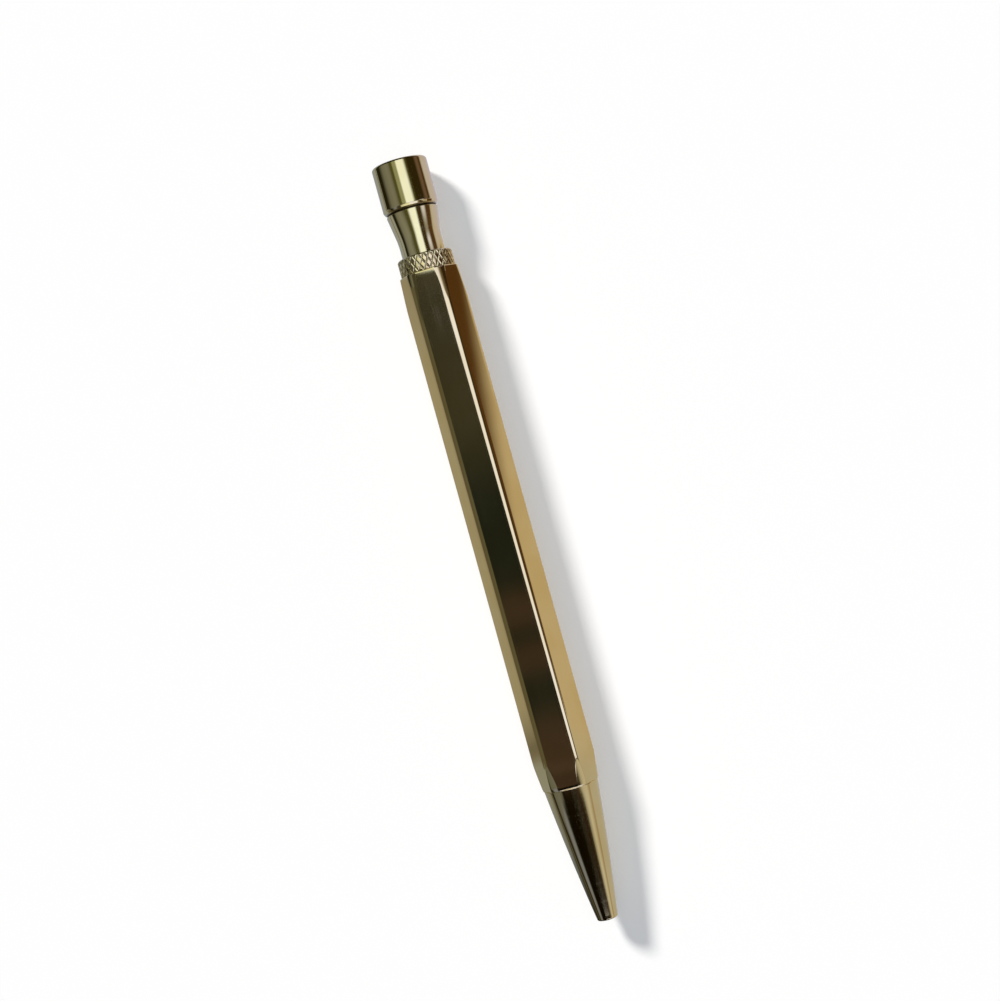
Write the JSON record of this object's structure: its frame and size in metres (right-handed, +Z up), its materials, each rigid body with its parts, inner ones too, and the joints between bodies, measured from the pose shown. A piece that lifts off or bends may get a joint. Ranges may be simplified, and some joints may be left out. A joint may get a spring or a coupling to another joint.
{
  "type": "retractable pen",
  "caption": "Retractable pen with a polished hexagonal gold barrel, conical screw-off nose, knurled collar and a waisted push button that clicks a standard refill out.",
  "frame": {"origin": "on the table under the middle of the pen, which lies on one flat of its barrel", "axes": "+X along the pen towards its writing end, +Z up, +Y across"},
  "size_m": [0.1364, 0.011, 0.0098],
  "materials": {
    "gold_metal": "mirror polished, gold plated",
    "seal_rubber": "satin",
    "white_plastic": "moulded, semi gloss",
    "grey_plastic": "moulded, satin",
    "steel": "drawn, bright",
    "refill_brass": "turned, bright",
    "ink": "wet ink"
  },
  "bodies": {
    "barrel": {"barrel": "gold_metal", "knurled_collar": "gold_metal", "cam_sleeve": "white_plastic", "refill_spring": "steel"},
    "button": {"push_button": "gold_metal", "plunger": "white_plastic"},
    "refill": {"refill_tube": "steel", "refill_neck": "refill_brass", "refill_plug": "grey_plastic", "point_tip": "refill_brass", "ink": "ink"},
    "rotor": {"rotor": "grey_plastic"},
    "ball": {"point_ball": "steel"},
    "seal": {"nose_seal": "seal_rubber"},
    "nose": {"nose_cone": "gold_metal"}
  },
  "joints": [
    {"name": "button_press", "type": "slide", "parent": "barrel", "child": "button", "axis": [1, 0, 0], "range_m": [0, 0.0045], "stiffness_N_per_m": 250, "springref_m": -0.014},
    {"name": "refill_slide", "type": "slide", "parent": "barrel", "child": "refill", "axis": [1, 0, 0], "range_m": [0, 0.0045], "deforming": ["refill_spring"]},
    {"name": "rotor_turn", "type": "hinge", "parent": "refill", "child": "rotor", "pos_m": [-0.03281, 0, 0.0049], "axis": [-1, 0, 0], "range_deg": [0, 18]},
    {"name": "ball_roll", "type": "hinge", "parent": "refill", "child": "ball", "pos_m": [0.06674, 0, 0.0049], "axis": [0, 1, 0], "continuous": true},
    {"name": "nose_advance", "type": "slide", "parent": "barrel", "child": "seal", "axis": [1, 0, 0], "range_m": [0, 0.006]},
    {"name": "nose_turn", "type": "hinge", "parent": "seal", "child": "nose", "pos_m": [0.04424, 0, 0.0049], "axis": [1, 0, 0], "range_deg": [0, 2880]}
  ],
  "couplings": [
    {"joint": "refill_slide", "follows": "button_press", "ratio": 1},
    {"joint": "rotor_turn", "follows": "button_press", "rad_per_m": 69.813},
    {"joint": "nose_turn", "follows": "nose_advance", "rad_per_m": 8377.6}
  ]
}
